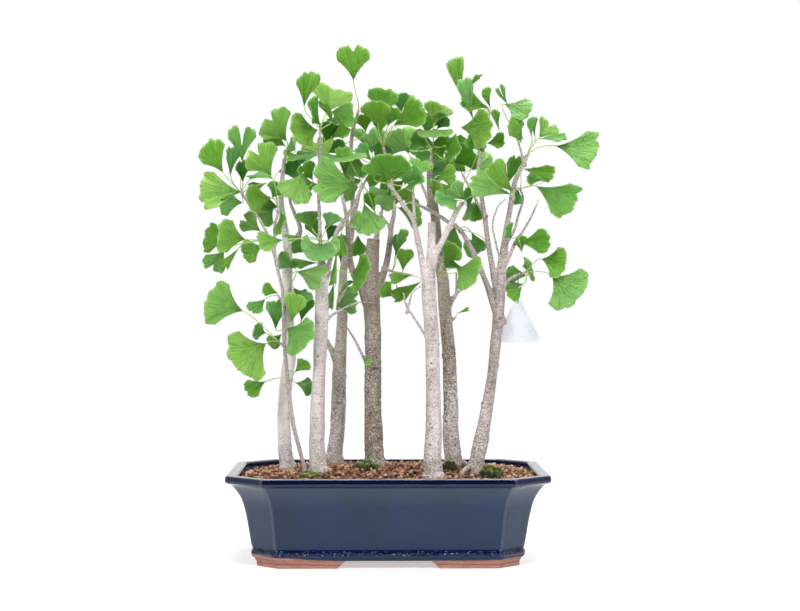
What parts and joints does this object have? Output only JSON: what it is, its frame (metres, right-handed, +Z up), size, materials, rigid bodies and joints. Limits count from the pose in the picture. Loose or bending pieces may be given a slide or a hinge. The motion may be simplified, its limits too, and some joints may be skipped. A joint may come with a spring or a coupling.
{
  "type": "ginkgo bonsai",
  "caption": "Group of ginkgo stems with fan-shaped leaves planted as a small forest in a footed oblong ceramic pot with cut corners.",
  "frame": {"origin": "middle of the plant's overall length and width, on the table under the pot's feet", "axes": "+Z up along the stems, X along the pot's long side, -Y towards the front of the planting"},
  "size_m": [0.4965, 0.281, 0.6543],
  "materials": {
    "glazed_pot": "dark blue glaze, bare reddish feet",
    "screen": "black moulded mesh",
    "soil": "loose baked clay grains",
    "moss": "short green cushions",
    "pale_bark": "pale pinkish grey bark with fine cross lines",
    "dark_bark": "grey brown bark with fine cross lines",
    "leaf": "soft green fan leaves with fine veins",
    "tag": "blank white card",
    "thread": "thin thread"
  },
  "bodies": {
    "root": {"pot": "glazed_pot", "drain_screen_left": "screen", "drain_screen_right": "screen", "soil": "soil", "moss_middle": "moss", "moss_right": "moss", "moss_far_right": "moss", "stem_1": "pale_bark", "stem_2": "pale_bark", "stem_3": "pale_bark", "stem_4": "dark_bark", "stem_5": "dark_bark", "stem_6": "pale_bark", "stem_7": "dark_bark", "stem_8": "pale_bark", "leaves_1_top": "leaf", "leaves_1_fork": "leaf", "leaves_1_front": "leaf", "leaves_2_left": "leaf", "leaves_2_top": "leaf", "leaves_2_mid": "leaf", "leaves_2_upper": "leaf", "leaves_2_low": "leaf", "leaves_2_facing": "leaf", "leaves_2_lowest": "leaf", "leaves_3_cup": "leaf", "leaves_3_top": "leaf", "leaves_3_fold": "leaf", "leaves_3_side": "leaf", "leaves_3_right": "leaf", "leaves_4_top": "leaf", "leaves_4_inner": "leaf", "leaves_4_low": "leaf", "leaves_5_right": "leaf", "leaves_5_shade": "leaf", "leaves_5_tiny": "leaf", "leaves_6_left": "leaf", "leaves_6_second": "leaf", "leaves_6_right": "leaf", "leaves_7_top": "leaf", "leaves_7_second": "leaf", "leaves_7_front": "leaf", "leaves_7_stub": "leaf", "leaves_8_long": "leaf", "leaves_8_top": "leaf", "leaves_8_tip": "leaf", "leaves_8_left": "leaf", "leaves_8_shoot": "leaf", "leaves_8_right": "leaf", "leaves_8_inner": "leaf", "leaves_8_middle": "leaf", "leaves_8_low": "leaf", "leaves_4_back": "leaf", "leaves_5_back": "leaf", "leaves_5_top": "leaf", "leaves_7_back": "leaf", "leaves_8_back": "leaf", "tag": "tag", "tag_thread": "thread"}
  },
  "joints": []
}
